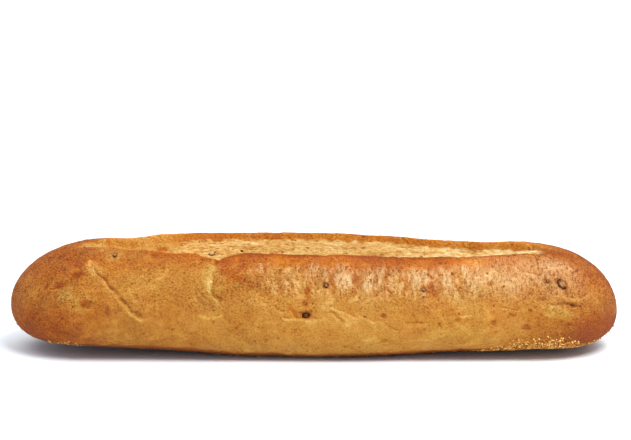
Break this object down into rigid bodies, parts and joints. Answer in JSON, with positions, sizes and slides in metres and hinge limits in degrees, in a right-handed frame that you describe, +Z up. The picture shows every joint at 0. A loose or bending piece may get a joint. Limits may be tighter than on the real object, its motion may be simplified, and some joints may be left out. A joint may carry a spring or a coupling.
{
  "type": "wheat roll",
  "caption": "Long oval wheat roll with a torn cut along its top, folds in the crust and coarse semolina along its flattened underside.",
  "frame": {"origin": "on the board under the middle of the roll", "axes": "+X along the roll, -Y towards its shown side, +Z up"},
  "size_m": [0.28, 0.0668, 0.0527],
  "materials": {
    "crust": "baked crust, golden brown with a faint sheen, darker along the lips of the cut and at the tips, pale torn crumb inside the cut"
  },
  "bodies": {
    "root": {"wheat_roll": "crust"}
  },
  "joints": []
}
